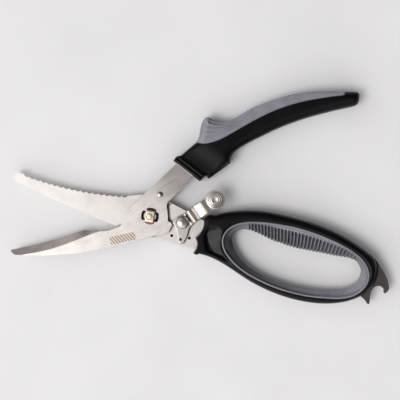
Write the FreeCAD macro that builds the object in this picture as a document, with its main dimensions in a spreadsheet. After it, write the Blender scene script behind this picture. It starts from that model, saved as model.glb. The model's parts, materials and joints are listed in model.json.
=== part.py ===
import FreeCAD, Part
import Sketcher
import math
import os
import re

# Pull-apart poultry shears, lying open on their flat handles, in millimetres.
# Outlines are given about the pivot: +X towards the handles, +Y towards the straight
# handle, +Z towards the front blade. The finished parts are then shifted so that the
# origin lies under the middle of the whole object.

Vector = FreeCAD.Vector

DIMENSIONS = {
    "handle_thickness": 17.0,
    "plate_thickness": 3.0,
    "plate_gap": 0.1,
    "edge_land": 0.25,
    "stud_shank_radius": 3.0,
    "journal_radius": 4.24,
    "keyhole_radius": 4.3,
    "keyhole_lobe_reach": 5.9,
    "keyhole_lobe_half_width": 3.1,
    "keeper_reach": 5.45,
    "keeper_half_width": 2.9,
    "keeper_thickness": 1.8,
    "keeper_bore_radius": 2.2,
    "keeper_rounding": 0.45,
    "keeper_angle": 81.0,
    "keyhole_angle": -9.0,
    "scallop_pitch": 1.004,
    "scallop_count": 18.0,
    "scallop_radius": 2.23,
    "scallop_depth": 1.15,
    "back_arc_x": -4.4,
    "back_arc_y": 235.7,
    "back_arc_radius": 222.5,
    "recess_depth": 1.9,
    "spring_mean_radius": 6.2,
    "spring_wire": 1.2,
    "pin_x": 6.5,
    "pin_y": 14.2,
    "pin_radius": 1.5,
    "pin_dome_radius": 2.0,
    "pin_floor_gap": 0.3,
    "rivet_x": 21.5,
    "rivet_y": -4.1,
    "rivet_radius": 2.5,
    "rivet_clearance": 0.06,
    "rivet_dome_radius": 4.0,
    "washer_gap": 0.05,
    "pivot_washer_radius": 6.0,
    "pivot_washer_thickness": 1.0,
    "lever_washer_radius": 4.4,
    "lever_washer_stack": 0.6,
    "spring_washer_radius": 4.6,
    "spring_washer_dish": 0.2,
    "lever_thickness": 1.5,
    "lever_lift": 0.5,
    "lever_angle": 34.7,
    "tab_underside": 17.3,
    "pad_reach": 25.9,
    "button_sphere_radius": 19.0,
    "button_rise": 0.75,
    "button_limit_radius": 5.5,
    "thumb_groove_radius": 0.28,
    "detent_reach": 11.4,
    "detent_radius": 1.0,
    "detent_depth": 2.2,
    "tang_half_width": 2.3,
    "shell_fillet": 2.0,
    "tongue_height": 3.4,
    "tongue_thickness": 6.0,
    "opener_thickness": 4.0,
    "liner_rise": 0.6,
    "liner_rounding": 3.0,
    "frame_x": 0.0,
    "frame_y": 0.0,
}

doc = FreeCAD.newDocument("poultry_shears")
sheet = doc.addObject("Spreadsheet::Sheet", "Dimensions")


def fill_sheet():
    for row, (alias, value) in enumerate(DIMENSIONS.items(), start=1):
        sheet.set(f"A{row}", alias)
        sheet.set(f"B{row}", str(value))
        sheet.setAlias(f"B{row}", alias)
    doc.recompute()


def size(alias):
    return float(sheet.get(alias))


def bind(target, prop, formula):
    """Bind a property to a formula of sheet aliases."""
    words = re.sub(r"[a-z_]{4,}", lambda word: "Dimensions." + word.group(0), formula)
    target.setExpression(prop, words)


BACK_BOTTOM = "handle_thickness / 2 - plate_gap / 2 - plate_thickness"
BACK_TOP = "handle_thickness / 2 - plate_gap / 2"
FRONT_BOTTOM = "handle_thickness / 2 + plate_gap / 2"
FRONT_TOP = "handle_thickness / 2 + plate_gap / 2 + plate_thickness"


def level(formula):
    """The height that a sum of sheet aliases stands for."""
    height = 0.0
    for term in formula.replace("- ", "+ -").split("+ "):
        name, _, divisor = term.strip().lstrip("-").partition(" / ")
        sign = -1.0 if term.startswith("-") else 1.0
        height += sign * size(name.strip()) / float(divisor or 1.0)
    return height


# ---------------------------------------------------------------- outline helpers


def polar(radius, degrees, centre=(0.0, 0.0)):
    angle = math.radians(degrees)
    return (centre[0] + radius * math.cos(angle), centre[1] + radius * math.sin(angle))


def point(pair, height=0.0):
    return Vector(pair[0], pair[1], height)


def run_geometry(run):
    """A straight line, a circular arc through three points, or a smooth curve."""
    points = [point(pair) for pair in run]
    if len(points) == 2:
        return Part.LineSegment(points[0], points[1])
    if len(points) == 3:
        return Part.Arc(points[0], points[1], points[2])
    curve = Part.BSplineCurve()
    curve.interpolate(points)
    return curve


def chain(*runs):
    """Join runs of points, each starting where the last one ends, into a closed outline."""
    closed = []
    last = runs[-1][-1]
    for run in runs:
        if math.dist(last, run[0]) > 1e-6:
            closed.append([last, run[0]])
        closed.append(list(run))
        last = run[-1]
    return closed


def face_of(outline):
    edges = [run_geometry(run).toShape() for run in outline]
    return Part.Face(Part.Wire(edges))


def slab(outline, bottom, top):
    solid = face_of(outline).extrude(Vector(0, 0, top - bottom))
    solid.translate(Vector(0, 0, bottom))
    return solid


# ---------------------------------------------------------------- document helpers


def new_body(name):
    return doc.addObject("PartDesign::Body", name + "_body")


def origin_plane(body, role):
    for feature in body.Origin.OriginFeatures:
        if feature.Role == role:
            return feature
    raise RuntimeError("no origin plane " + role)


def add_sketch(body, name, outlines, height, centre=None):
    sketch = body.newObject("Sketcher::SketchObject", name)
    sketch.AttachmentSupport = [(origin_plane(body, "XY_Plane"), "")]
    sketch.MapMode = "FlatFace"
    for outline in outlines:
        for run in outline:
            sketch.addGeometry(run_geometry(run), False)
    bind(sketch, "AttachmentOffset.Base.z", height)
    if centre:
        bind(sketch, "AttachmentOffset.Base.x", centre[0])
        bind(sketch, "AttachmentOffset.Base.y", centre[1])
    return sketch


def add_circle(sketch, radius_alias, centre=(0.0, 0.0)):
    """A circle whose radius follows the sheet."""
    start = size(radius_alias)
    index = sketch.addGeometry(Part.Circle(point(centre), Vector(0, 0, 1), start), False)
    row = sketch.addConstraint(Sketcher.Constraint("Radius", index, start))
    bind(sketch, f"Constraints[{row}]", radius_alias)


def pad(body, name, sketch, length):
    feature = body.newObject("PartDesign::Pad", name)
    feature.Profile = sketch
    bind(feature, "Length", length)


def pocket(body, name, sketch, length=None):
    feature = body.newObject("PartDesign::Pocket", name)
    feature.Profile = sketch
    if length:
        bind(feature, "Length", length)
    else:
        feature.Type = "ThroughAll"
        feature.Midplane = True
    return feature


def add_revolution(body, name, profile):
    """A turned piece about the vertical axis; the profile is in the XZ plane."""
    sketch = body.newObject("Sketcher::SketchObject", name + "_profile")
    sketch.AttachmentSupport = [(origin_plane(body, "XZ_Plane"), "")]
    sketch.MapMode = "FlatFace"
    for run in profile:
        sketch.addGeometry(run_geometry(run), False)
    feature = body.newObject("PartDesign::Revolution", name)
    feature.Profile = sketch
    feature.ReferenceAxis = (sketch, ["V_Axis"])
    feature.Angle = 360.0


def add_shape(name, shape):
    feature = doc.addObject("Part::Feature", name)
    feature.Shape = shape
    return feature


def add_cut(name, base, tool):
    feature = doc.addObject("Part::Cut", name)
    feature.Base = base
    feature.Tool = tool
    return feature


def add_common(name, base, tool):
    feature = doc.addObject("Part::Common", name)
    feature.Base = base
    feature.Tool = tool
    return feature


def add_fuse(name, base, tool):
    feature = doc.addObject("Part::Fuse", name)
    feature.Base = base
    feature.Tool = tool
    return feature


def try_fillet(shape, radius, wanted):
    """Round the chosen edges, as many as the geometry kernel can manage."""
    edges = [edge for edge in shape.Edges if wanted(edge)]
    for share in (1.0, 0.75, 0.5, 0.3):
        try:
            rounded = shape.makeFillet(radius * share, edges)
        except Exception:
            continue
        if rounded.isValid() and rounded.Volume > 0:
            return rounded
    return shape


def lies_flat_at(edge, height):
    low = edge.BoundBox.ZMin
    high = edge.BoundBox.ZMax
    return abs(low - height) < 1e-4 and abs(high - height) < 1e-4


# ---------------------------------------------------------------- outlines


def back_edge(x):
    """The concave back of the serrated blade."""
    centre_x = size("back_arc_x")
    radius = size("back_arc_radius")
    return (x, size("back_arc_y") - math.sqrt(radius**2 - (x - centre_x) ** 2))


LOOP_TANG = [(47.5, -4.6), (60.0, -1.2), (80.0, -0.9), (97.0, -5.4)]
STRAIGHT_TANG = [(38.0, 43.5), (59.4, 56.0), (85.8, 68.2), (106.0, 73.6)]


def tang_sides(spine):
    """The two sides of a tang that tapers a little along its spine."""
    half_width = size("tang_half_width")
    left = []
    right = []
    for index, here in enumerate(spine):
        before = spine[max(index - 1, 0)]
        after = spine[min(index + 1, len(spine) - 1)]
        along = (after[0] - before[0], after[1] - before[1])
        length = math.hypot(*along)
        normal = (-along[1] / length, along[0] / length)
        half = half_width * (1.0 - 0.12 * index)
        left.append((here[0] + half * normal[0], here[1] + half * normal[1]))
        right.append((here[0] - half * normal[0], here[1] - half * normal[1]))
    return left, right


def serrated_plate_outline():
    left, right = tang_sides(LOOP_TANG)
    tip = back_edge(-86.8)
    return chain(
        [tip, (-90.3, 25.3), (-87.9, 22.7)],
        [(-87.9, 22.7), (-77.2, 17.0), (-59.4, 8.7), (-39.0, 0.1), (-20.7, -7.1), (-9.0, -11.6)],
        [(-9.0, -11.6), (-3.0, -13.4), (1.3, -14.1), (6.6, -15.2)],
        [(6.6, -15.2), (13.2, -17.0), (19.8, -19.1), (26.4, -20.5), (31.0, -21.4)],
        [(31.0, -21.4), (40.0, -24.0)],
        [(40.0, -24.0), (43.6, -16.0), (42.6, -8.6)],
        right,
        list(reversed(left)),
        [left[0], (35.6, -3.2)],
        [(35.6, -3.2), (3.8, 14.3)],
        [(3.8, 14.3), (-5.3, 14.3)],
        [(-5.3, 14.3), back_edge(-14.4)],
        [back_edge(-14.4), back_edge(-50.0), tip],
    )


def cutting_plate_outline():
    left, right = tang_sides(STRAIGHT_TANG)
    return chain(
        [(-87.8, -25.5), (-91.3, -24.2), (-92.4, -22.3)],
        [(-92.4, -22.3), (-85.8, -20.9), (-72.6, -17.9), (-59.4, -14.2), (-46.2, -9.9)],
        [(-46.2, -9.9), (-42.6, -9.2), (-38.6, -9.7), (-34.3, -10.0), (-30.0, -9.9), (-26.4, -9.3)],
        [(-26.4, -9.3), (-22.6, -8.0), (-20.2, -6.8), (-18.8, -5.1)],
        [(-18.8, -5.1), (-16.2, 2.8)],
        [(-16.2, 2.8), (16.9, 34.2)],
        list(left),
        list(reversed(right)),
        [right[0], (27.9, 26.2)],
        [(27.9, 26.2), (19.8, 17.3), (13.1, 10.5)],
        [(13.1, 10.5), (11.3, 8.4), (11.0, 6.1)],
        [(11.0, 6.1), (11.7, 1.0), (11.8, -3.4)],
        [(11.8, -3.4), (13.6, -4.2), (14.5, -6.1)],
        [(14.5, -6.1), (12.2, -10.5)],
        [(12.2, -10.5), (9.2, -11.8), (3.3, -12.7)],
        [(3.3, -12.7), (-2.6, -14.4)],
        [(-2.6, -14.4), (-6.6, -15.4), (-19.8, -18.8), (-33.0, -21.6), (-46.2, -24.1), (-59.4, -25.3)],
        [(-59.4, -25.3), (-68.0, -25.9), (-79.2, -25.8), (-87.8, -25.5)],
    )


def straight_handle_outline():
    return chain(
        [(15.4, 36.6), (17.4, 39.2)],
        [(17.4, 39.2), (21.1, 40.4)],
        [(21.1, 40.4), (30.4, 48.6)],
        [
            (30.4, 48.6),
            (33.0, 55.6),
            (34.6, 62.2),
            (37.4, 65.3),
            (41.6, 63.6),
            (48.6, 62.3),
            (54.8, 64.1),
            (66.0, 70.6),
            (79.2, 76.0),
            (92.4, 80.0),
            (112.0, 82.3),
            (138.0, 82.1),
        ],
        [(138.0, 82.1), (138.3, 78.0), (136.6, 73.2)],
        [
            (136.6, 73.2),
            (112.2, 67.4),
            (99.0, 63.5),
            (85.8, 58.5),
            (72.6, 52.3),
            (60.0, 45.4),
            (55.2, 41.4),
            (53.3, 35.1),
        ],
        [(53.3, 35.1), (38.8, 24.7)],
        [(38.8, 24.7), (36.8, 26.8)],
        [(36.8, 26.8), (32.9, 23.0)],
        [(32.9, 23.0), (15.4, 36.6)],
    )


GRIP_BORDER = [
    (126.4, 79.3),
    (112.2, 77.4),
    (99.0, 74.8),
    (85.8, 70.8),
    (72.6, 64.9),
    (59.4, 57.6),
    (46.2, 50.4),
    (40.6, 48.4),
    (36.3, 47.6),
    (32.3, 48.1),
]


def straight_grip_zone():
    """The part of the straight handle that the grey grip takes, cut generously outside."""
    return chain(
        [(24.0, 92.0), (29.4, 48.8)],
        [(29.4, 48.8), (32.3, 48.1)],
        list(reversed(GRIP_BORDER)),
        [(126.4, 79.3), (128.2, 80.2), (129.0, 82.6)],
        [(129.0, 82.6), (129.4, 92.0)],
        [(129.4, 92.0), (24.0, 92.0)],
    )


def loop_handle_outline():
    return chain(
        [(35.6, -3.5), (34.7, -8.4), (29.9, -14.3)],
        [(29.9, -14.3), (30.9, -20.0), (28.6, -24.2)],
        [(28.6, -24.2), (30.0, -25.2), (32.3, -24.7)],
        [(32.3, -24.7), (39.6, -26.9), (52.8, -34.3), (66.0, -43.0), (79.2, -49.6), (92.4, -54.3)],
        [(92.4, -54.3), (105.6, -57.0), (118.8, -57.7), (130.0, -56.2), (139.2, -52.6), (145.5, -47.4)],
        [(145.5, -47.4), (149.0, -41.0), (149.8, -34.8), (149.2, -30.6), (145.2, -25.0)],
        [(145.2, -25.0), (132.0, -15.6), (118.8, -8.7), (105.6, -3.8), (92.4, -0.1), (79.2, 2.8)],
        [(79.2, 2.8), (66.0, 3.9), (52.8, 3.0), (46.9, 1.8), (43.2, 0.8), (40.1, 1.3)],
        [(40.1, 1.3), (37.2, 0.1), (35.6, -3.5)],
    )


def liner_rim_outline():
    return chain(
        [(47.0, -17.5), (48.0, -12.0), (54.0, -6.0), (66.0, -3.2), (79.2, -3.9), (92.4, -6.0)],
        [(92.4, -6.0), (105.6, -9.6), (118.8, -14.7), (132.0, -21.5), (140.9, -28.9), (144.5, -36.4)],
        [(144.5, -36.4), (143.6, -44.0), (138.6, -50.0), (130.4, -53.7), (118.8, -54.5), (108.9, -53.8)],
        [(108.9, -53.8), (95.7, -51.5), (82.5, -47.5), (69.3, -41.6), (56.0, -32.6), (49.6, -25.1)],
        [(49.6, -25.1), (47.8, -21.5), (47.0, -17.5)],
    )


def liner_opening_outline():
    return chain(
        [(54.1, -15.7), (57.0, -10.4), (61.4, -8.6), (66.0, -9.4), (72.6, -12.1), (85.8, -17.8)],
        [(85.8, -17.8), (99.0, -21.8), (112.2, -24.3), (125.4, -26.9), (136.3, -29.9), (139.7, -35.5)],
        [(139.7, -35.5), (137.3, -42.8), (130.0, -47.7), (118.8, -49.4), (105.6, -48.5), (92.4, -45.9)],
        [(92.4, -45.9), (79.2, -41.4), (67.3, -35.2), (58.1, -26.3), (55.4, -21.0), (54.1, -15.7)],
    )


def opener_outline():
    return chain(
        [(145.0, -25.6), (148.0, -27.6), (152.0, -32.9), (154.8, -37.5), (157.0, -42.2), (157.9, -46.1)],
        [(157.9, -46.1), (157.8, -48.4), (156.8, -49.8)],
        [(156.8, -49.8), (155.4, -51.2)],
        [(155.4, -51.2), (154.8, -50.2), (155.0, -48.8)],
        [(155.0, -48.8), (151.2, -46.1), (146.7, -48.8)],
        [(146.7, -48.8), (145.7, -51.6), (145.3, -54.6), (144.9, -57.6)],
        [(144.9, -57.6), (144.4, -58.1), (143.7, -57.8)],
        [(143.7, -57.8), (141.6, -55.0), (139.4, -53.2)],
        [(139.4, -53.2), (144.2, -47.0), (146.6, -40.0)],
        [(146.6, -40.0), (147.2, -33.0), (145.0, -25.6)],
    )


def lever_point(along, across):
    angle = size("lever_angle")
    start = polar(along, angle, (size("rivet_x"), size("rivet_y")))
    return polar(across, angle + 90.0, start)


TAB_HALF_WIDTH = 4.5
PAD_RADIUS = 6.3


def lever_outline():
    joint = size("pad_reach") - math.sqrt(PAD_RADIUS**2 - TAB_HALF_WIDTH**2)
    return chain(
        [(14.7, -4.4), (16.4, -6.6), (17.6, -9.8)],
        [(17.6, -9.8), (18.3, -13.1), (18.7, -15.7)],
        [(18.7, -15.7), (20.6, -18.2), (22.8, -16.4)],
        [(22.8, -16.4), (24.2, -14.1), (25.1, -11.1), (25.7, -8.8), (26.8, -6.9)],
        [(26.8, -6.9), lever_point(8.0, -TAB_HALF_WIDTH)],
        [lever_point(8.0, -TAB_HALF_WIDTH), lever_point(joint, -TAB_HALF_WIDTH)],
        [
            lever_point(joint, -TAB_HALF_WIDTH),
            lever_point(size("pad_reach") + PAD_RADIUS, 0.0),
            lever_point(joint, TAB_HALF_WIDTH),
        ],
        [lever_point(joint, TAB_HALF_WIDTH), lever_point(5.4, TAB_HALF_WIDTH)],
        [lever_point(5.4, TAB_HALF_WIDTH), (21.8, 0.9), (18.4, -0.2)],
        [(18.4, -0.2), (15.9, -2.3), (14.7, -4.4)],
    )


# ---------------------------------------------------------------- the two plates


def detent_points():
    centre = (size("rivet_x"), size("rivet_y"))
    angles = (-129.5, -97.0, -67.0)
    return [polar(size("detent_reach"), angle, centre) for angle in angles]


def sector_outline(inner, outer, first, last):
    middle = (first + last) / 2.0
    return chain(
        [polar(outer, first), polar(outer, middle), polar(outer, last)],
        [polar(inner, last), polar(inner, middle), polar(inner, first)],
    )


FIRST_SCALLOP_ANGLE = 249.7


def make_serrated_blade():
    body = new_body("serrated_blade")
    outline = add_sketch(body, "serrated_outline", [serrated_plate_outline()], BACK_BOTTOM)
    pad(body, "serrated_plate", outline, "plate_thickness")

    arc_centre = ("back_arc_x", "back_arc_y")
    scallop = add_sketch(body, "scallop_sketch", [], BACK_BOTTOM, arc_centre)
    reach = size("back_arc_radius") - size("scallop_radius") + size("scallop_depth")
    add_circle(scallop, "scallop_radius", polar(reach, FIRST_SCALLOP_ANGLE))
    cut = pocket(body, "scallop", scallop)
    doc.recompute()
    pattern = body.newObject("PartDesign::PolarPattern", "scallop_row")
    pattern.Originals = [cut]
    pattern.Axis = (scallop, ["N_Axis"])
    pattern.Mode = "Spacing"
    bind(pattern, "Offset", "scallop_pitch * 1 deg")
    pattern.Occurrences = int(size("scallop_count"))
    body.Tip = pattern

    holes = add_sketch(body, "plate_holes", [], BACK_BOTTOM)
    add_circle(holes, "stud_shank_radius")
    add_circle(holes, "rivet_radius", (size("rivet_x"), size("rivet_y")))
    pocket(body, "plate_hole_cut", holes)
    detents = add_sketch(body, "detent_sketch", [], BACK_TOP)
    for spot in detent_points():
        add_circle(detents, "detent_radius", spot)
    pocket(body, "detent_cut", detents, "detent_depth")

    recess = add_sketch(body, "spring_recess_sketch", [SPRING_RECESS], BACK_TOP)
    pocket(body, "spring_recess", recess, "recess_depth")
    track_outline = sector_outline(13.4, 20.0, 29.2, 84.0)
    track = add_sketch(body, "pin_track_sketch", [track_outline], BACK_TOP)
    pocket(body, "pin_track", track, "recess_depth")

    wedge = bevel_wedge(SERRATED_BEVEL, level(BACK_TOP) - size("edge_land"), -1.0)
    return add_cut("serrated_blade", body, add_shape("serrated_bevel", wedge))


SPRING_RECESS = chain(
    [(7.2, -1.2), (0.0, -7.3), (-7.3, 0.0)],
    [(-7.3, 0.0), (-6.9, 2.4), (-5.8, 4.4)],
    [(-5.8, 4.4), (-3.6, 9.2)],
    [(-3.6, 9.2), (-2.2, 9.9), (-1.4, 8.7)],
    [(-1.4, 8.7), (-2.2, 6.4)],
    [(-2.2, 6.4), (5.0, 6.9)],
    [(5.0, 6.9), (7.4, 14.0)],
    [(7.4, 14.0), (12.4, 8.4)],
    [(12.4, 8.4), (9.6, 3.0), (7.2, -1.2)],
)

SERRATED_BEVEL = [
    ((-94.0, 26.4), (-92.6, 28.6)),
    ((-87.9, 22.6), (-86.8, 25.0)),
    ((-77.2, 17.0), (-75.9, 20.0)),
    ((-59.4, 8.7), (-58.0, 12.2)),
    ((-39.0, 0.1), (-37.6, 3.5)),
    ((-20.7, -7.1), (-19.6, -4.0)),
    ((-12.0, -10.6), (-11.4, -9.0)),
]

CUTTING_BEVEL = [
    ((-94.0, -22.6), (-91.0, -26.6)),
    ((-85.8, -20.9), (-83.2, -25.25)),
    ((-72.6, -17.9), (-70.3, -22.9)),
    ((-59.4, -14.2), (-57.6, -19.1)),
    ((-46.2, -9.9), (-45.0, -14.2)),
    ((-38.6, -9.7), (-38.2, -11.6)),
    ((-33.6, -10.0), (-33.6, -10.4)),
]


def bevel_wedge(stations, edge_height, side):
    """The metal ground away between a cutting edge and the line where grinding starts.

    Each station holds a point of the cutting edge and its mate on the grind line. The
    wedge opens upwards for side 1 and downwards for side -1.
    """
    face_height = edge_height + side * (size("plate_thickness") - size("edge_land"))
    beyond = face_height + side * 1.0
    wires = []
    for edge, start in stations:
        away = (edge[0] - start[0], edge[1] - start[1])
        outside = (edge[0] + 0.3 * away[0], edge[1] + 0.3 * away[1])
        drop = edge_height - side * 0.3 * (size("plate_thickness") - size("edge_land"))
        corners = [
            point(outside, drop),
            point(start, face_height),
            point(start, beyond),
            point(outside, beyond),
        ]
        wires.append(Part.makePolygon(corners + [corners[0]]))
    return Part.makeLoft(wires, True, False)


def keyhole_outline():
    reach = size("keyhole_lobe_reach")
    half = size("keyhole_lobe_half_width")
    radius = size("keyhole_radius")
    turn = size("keyhole_angle")
    corner = math.degrees(math.asin(half / reach))
    neck = math.degrees(math.asin(half / radius))
    runs = []
    for base in (turn, turn + 180.0):
        runs.append([polar(reach, base - corner), polar(reach, base), polar(reach, base + corner)])
        runs.append(
            [
                polar(radius, base + neck),
                polar(radius, base + 90.0),
                polar(radius, base + 180.0 - neck),
            ]
        )
    return chain(*runs)


def make_cutting_blade():
    body = new_body("cutting_blade")
    outline = add_sketch(body, "cutting_outline", [cutting_plate_outline()], FRONT_BOTTOM)
    pad(body, "cutting_plate", outline, "plate_thickness")
    holes = add_sketch(body, "keyhole_sketch", [keyhole_outline()], FRONT_BOTTOM)
    add_circle(holes, "pin_radius", (size("pin_x"), size("pin_y")))
    pocket(body, "keyhole", holes)
    wedge = bevel_wedge(CUTTING_BEVEL, level(FRONT_BOTTOM) + size("edge_land"), 1.0)
    return add_cut("cutting_blade", body, add_shape("cutting_bevel", wedge))


# ---------------------------------------------------------------- pivot and rivets


def box_profile(corners):
    loop = list(corners) + [corners[0]]
    return [[loop[i], loop[i + 1]] for i in range(len(corners))]


# Domed heads end in a small flat on their axis, as peened and turned heads do.
POLE_FLAT = 0.5


def make_pivot_stud():
    body = new_body("pivot_stud")
    back = level(BACK_BOTTOM)
    floor = level(BACK_TOP) - size("recess_depth")
    top = level(FRONT_TOP) + size("plate_gap") + size("keeper_thickness")
    shank = size("stud_shank_radius")
    journal = size("journal_radius")
    neck = size("keeper_bore_radius")
    shoulder = level(FRONT_TOP) + size("plate_gap")
    seat = back - size("pivot_washer_thickness")
    profile = chain(
        [(0.0, seat - 1.6), (POLE_FLAT, seat - 1.6)],
        [(POLE_FLAT, seat - 1.6), (3.4, seat - 1.2), (4.6, seat)],
        [(4.6, seat), (shank, seat)],
        [(shank, seat), (shank, floor)],
        [(shank, floor), (journal, floor)],
        [(journal, floor), (journal, shoulder)],
        [(journal, shoulder), (neck, shoulder)],
        [(neck, shoulder), (neck, top)],
        [(neck, top), (2.7, top)],
        [(2.7, top), (2.3, top + 0.45), (POLE_FLAT, top + 0.6)],
        [(POLE_FLAT, top + 0.6), (0.0, top + 0.6)],
        [(0.0, top + 0.6), (0.0, seat - 1.6)],
    )
    add_revolution(body, "stud_turned", profile)
    return body


def make_keeper_plate():
    body = new_body("keeper_plate")
    reach = size("keeper_reach")
    corner = math.degrees(math.asin(size("keeper_half_width") / reach))
    turn = size("keeper_angle")
    ends = []
    for base in (turn, turn + 180.0):
        ends.append([polar(reach, base - corner), polar(reach, base), polar(reach, base + corner)])
    height = FRONT_TOP + " + plate_gap"
    sketch = add_sketch(body, "keeper_outline", [chain(*ends)], height)
    pad(body, "keeper_pad", sketch, "keeper_thickness")
    bore = add_sketch(body, "keeper_bore_sketch", [], height)
    add_circle(bore, "keeper_bore_radius")
    bored = pocket(body, "keeper_bore", bore)
    doc.recompute()
    rim = level(height) + size("keeper_thickness")
    names = []
    for number, edge in enumerate(body.Shape.Edges, start=1):
        centre = edge.BoundBox.Center
        if lies_flat_at(edge, rim) and math.hypot(centre.x, centre.y) > 1.0:
            names.append(f"Edge{number}")
    soft = body.newObject("PartDesign::Fillet", "keeper_rounding")
    soft.Base = (bored, names)
    bind(soft, "Radius", "keeper_rounding")
    return body


def make_washer(name, inner, outer, bottom, top, dish=0.0):
    body = new_body(name)
    corners = [
        (inner, bottom + dish),
        (outer, bottom),
        (outer, top - dish),
        (inner, top),
    ]
    add_revolution(body, name + "_ring", box_profile(corners))
    return body


def make_washers():
    gap = size("washer_gap")
    shank = size("stud_shank_radius")
    rivet = size("rivet_radius")
    back = level(BACK_BOTTOM)
    face = level(BACK_TOP)
    lever_bottom = face + size("lever_lift")
    lever_top = lever_bottom + size("lever_thickness")
    rear_seat = back - size("pivot_washer_thickness")
    dome_seat = lever_top + size("lever_washer_stack")
    pivot_radius = size("pivot_washer_radius")
    lever_radius = size("lever_washer_radius")
    spring_radius = size("spring_washer_radius")
    dish = size("spring_washer_dish")
    under = (face + gap, lever_bottom - gap)
    return {
        "pivot_washer": make_washer("pivot_washer", shank, pivot_radius, rear_seat, back),
        "lever_washer": make_washer("lever_washer", rivet, lever_radius, lever_top + gap, dome_seat),
        "lever_spring_washer": make_washer(
            "lever_spring_washer", rivet, spring_radius, under[0], under[1], dish
        ),
    }


def make_lever_rivet():
    body = new_body("lever_rivet")
    back = level(BACK_BOTTOM)
    lever_top = level(BACK_TOP) + size("lever_lift") + size("lever_thickness")
    seat = lever_top + size("lever_washer_stack")
    radius = size("rivet_radius")
    dome = size("rivet_dome_radius")
    profile = chain(
        [(0.0, back - 1.5), (POLE_FLAT, back - 1.5)],
        [(POLE_FLAT, back - 1.5), (2.6, back - 1.2), (3.6, back)],
        [(3.6, back), (radius, back)],
        [(radius, back), (radius, seat)],
        [(radius, seat), (dome, seat)],
        [(dome, seat), (dome - 0.1, seat + 0.5)],
        [(dome - 0.1, seat + 0.5), (2.6, seat + 1.35), (POLE_FLAT, seat + 1.7)],
        [(POLE_FLAT, seat + 1.7), (0.0, seat + 1.7)],
        [(0.0, seat + 1.7), (0.0, back - 1.5)],
    )
    add_revolution(body, "rivet_turned", profile)
    return body


def make_stop_pin():
    body = new_body("stop_pin")
    low = level(BACK_TOP) - size("recess_depth") + size("pin_floor_gap")
    seat = level(FRONT_TOP)
    radius = size("pin_radius")
    dome = size("pin_dome_radius")
    profile = chain(
        [(0.0, low), (radius, low)],
        [(radius, low), (radius, seat)],
        [(radius, seat), (dome, seat)],
        [(dome, seat), (1.5, seat + 0.95), (POLE_FLAT, seat + 1.3)],
        [(POLE_FLAT, seat + 1.3), (0.0, seat + 1.3)],
        [(0.0, seat + 1.3), (0.0, low)],
    )
    add_revolution(body, "pin_turned", profile)
    return body


def make_torsion_spring():
    mean = size("spring_mean_radius")
    height = level(BACK_TOP) - size("recess_depth") / 2.0
    start = -9.5
    finish = -209.5
    middle = (start + finish) / 2.0
    leg_start = polar(14.6, 90.0 + start, polar(mean, start))
    anchor = polar(6.2, finish - 90.0, polar(mean, finish))
    edges = [
        Part.LineSegment(point(leg_start, height), point(polar(mean, start), height)),
        Part.Arc(
            point(polar(mean, start), height),
            point(polar(mean, middle), height),
            point(polar(mean, finish), height),
        ),
        Part.LineSegment(point(polar(mean, finish), height), point(anchor, height)),
    ]
    path = Part.Wire([edge.toShape() for edge in edges])
    along = point(polar(1.0, start - 90.0))
    section = Part.Circle(point(leg_start, height), along, size("spring_wire") / 2.0)
    return add_shape("torsion_spring", path.makePipeShell([Part.Wire(section.toShape())], True, True))


# ---------------------------------------------------------------- locking lever


def lever_profile(lift):
    """The bent sheet from the side: distance along the tab, and height of one face."""
    base = level(BACK_TOP) + size("lever_lift") + lift
    tab = size("tab_underside") + lift
    back = 0.35 * lift
    return [
        (-20.0, base),
        (5.2 - back, base),
        (6.6 - back, base + 3.6),
        (8.2, base + 4.2),
        (10.0, base + 4.4),
        (12.1 - back, tab + 0.2),
        (14.6, tab + 0.8),
        (17.0, tab + 0.6),
        (19.6, tab),
        (34.0, tab),
    ]


THUMB_GROOVES = (1.8, 3.3, 4.6)
BEND_ROUNDING = 0.7


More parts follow.
